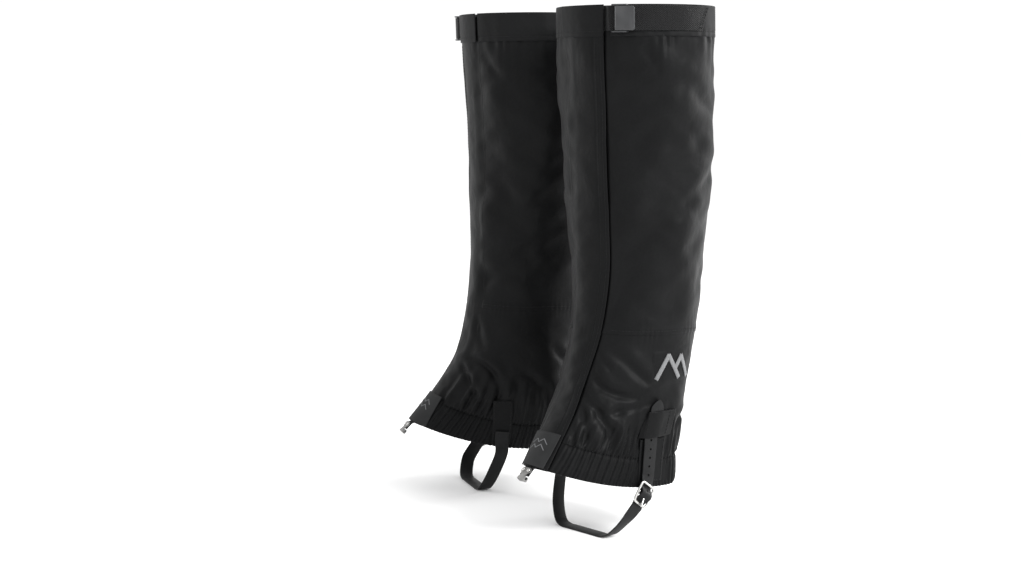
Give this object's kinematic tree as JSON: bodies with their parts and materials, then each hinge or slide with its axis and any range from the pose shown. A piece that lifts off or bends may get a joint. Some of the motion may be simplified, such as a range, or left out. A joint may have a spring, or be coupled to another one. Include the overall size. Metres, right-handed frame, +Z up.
{
  "type": "pair of trekking gaiters",
  "caption": "Knee-high trekking gaiters with a hinged front flap, cam buckle at the rim, lace hook, gathered hem and buckled boot strap.",
  "frame": {"origin": "bottom centre of the pair's box: midway between the gaiters, on the plane of the boot straps' undersides", "axes": "+Z up the legs, -Y towards the toes, +X towards the wearer's left"},
  "size_m": [0.3606, 0.2113, 0.4911],
  "materials": {
    "black_nylon": "coated plain-weave nylon, slight sheen",
    "hem_nylon": "gathered nylon over elastic, matt",
    "hook_loop_tape": "matt hook-and-loop pile",
    "black_webbing": "ribbed webbing, matt",
    "coated_strap": "grey coated strap, satin",
    "grey_rubber": "grey moulded label, matt",
    "grey_thread": "satin embroidery thread",
    "buckle_acetal": "dark moulded plastic, semi-gloss",
    "bright_nickel": "bright nickel plate",
    "satin_nickel": "satin nickel plate"
  },
  "bodies": {
    "gaiters": {"ankle_hem_left": "hem_nylon", "lower_panel_left": "black_nylon", "upper_panel_left": "black_nylon", "top_band_left": "black_nylon", "front_loop_tape_left": "hook_loop_tape", "instep_flap_left": "black_nylon", "cinch_webbing_left": "black_webbing", "cam_buckle_base_left": "buckle_acetal", "cam_pin_left": "satin_nickel", "flap_label_left": "grey_rubber", "lace_hook_tab_left": "black_webbing", "lace_hook_left": "satin_nickel", "hook_rivet_inner_left": "bright_nickel", "hook_rivet_outer_left": "bright_nickel", "strap_backing_patch_left": "black_nylon", "strap_keeper_left": "black_nylon", "strap_anchor_patch_left": "black_nylon", "embroidered_mark_left": "grey_thread", "instep_strap_left": "coated_strap", "buckle_tab_left": "black_webbing", "strap_buckle_frame_left": "bright_nickel", "ankle_hem_right": "hem_nylon", "lower_panel_right": "black_nylon", "upper_panel_right": "black_nylon", "top_band_right": "black_nylon", "front_loop_tape_right": "hook_loop_tape", "instep_flap_right": "black_nylon", "cinch_webbing_right": "black_webbing", "cam_buckle_base_right": "buckle_acetal", "cam_pin_right": "satin_nickel", "flap_label_right": "grey_rubber", "lace_hook_tab_right": "black_webbing", "lace_hook_right": "satin_nickel", "hook_rivet_inner_right": "bright_nickel", "hook_rivet_outer_right": "bright_nickel", "strap_backing_patch_right": "black_nylon", "strap_keeper_right": "black_nylon", "strap_anchor_patch_right": "black_nylon", "embroidered_mark_right": "grey_thread", "instep_strap_right": "coated_strap", "buckle_tab_right": "black_webbing", "strap_buckle_frame_right": "bright_nickel"},
    "flap_left": {"shin_flap_left": "black_nylon", "flap_band_left": "black_nylon", "flap_hook_tape_left": "hook_loop_tape"},
    "lever_left": {"cam_lever_left": "buckle_acetal"},
    "prong_left": {"strap_buckle_prong_left": "bright_nickel"},
    "flap_right": {"shin_flap_right": "black_nylon", "flap_band_right": "black_nylon", "flap_hook_tape_right": "hook_loop_tape"},
    "lever_right": {"cam_lever_right": "buckle_acetal"},
    "prong_right": {"strap_buckle_prong_right": "bright_nickel"}
  },
  "joints": [
    {"name": "flap_left_hinge", "type": "hinge", "parent": "gaiters", "child": "flap_left", "pos_m": [0.08949, -0.02861, 0.19179], "axis": [0.0141, 0.0268, -0.9995], "range_deg": [0, 100]},
    {"name": "lever_left_hinge", "type": "hinge", "parent": "gaiters", "child": "lever_left", "pos_m": [0.15618, -0.021, 0.47825], "axis": [-0.0234, 0.0262, -0.9994], "range_deg": [0, 100]},
    {"name": "prong_left_hinge", "type": "hinge", "parent": "gaiters", "child": "prong_left", "pos_m": [0.16079, 0.00911, 0.041], "axis": [0.1605, -0.8033, 0.5736], "range_deg": [0, 80]},
    {"name": "flap_right_hinge", "type": "hinge", "parent": "gaiters", "child": "flap_right", "pos_m": [-0.08949, -0.02861, 0.19179], "axis": [0.0141, -0.0268, 0.9995], "range_deg": [0, 100]},
    {"name": "lever_right_hinge", "type": "hinge", "parent": "gaiters", "child": "lever_right", "pos_m": [-0.15618, -0.021, 0.47825], "axis": [-0.0234, -0.0262, 0.9994], "range_deg": [0, 100]},
    {"name": "prong_right_hinge", "type": "hinge", "parent": "gaiters", "child": "prong_right", "pos_m": [-0.16079, 0.00911, 0.041], "axis": [0.1605, 0.8033, -0.5736], "range_deg": [0, 80]}
  ]
}
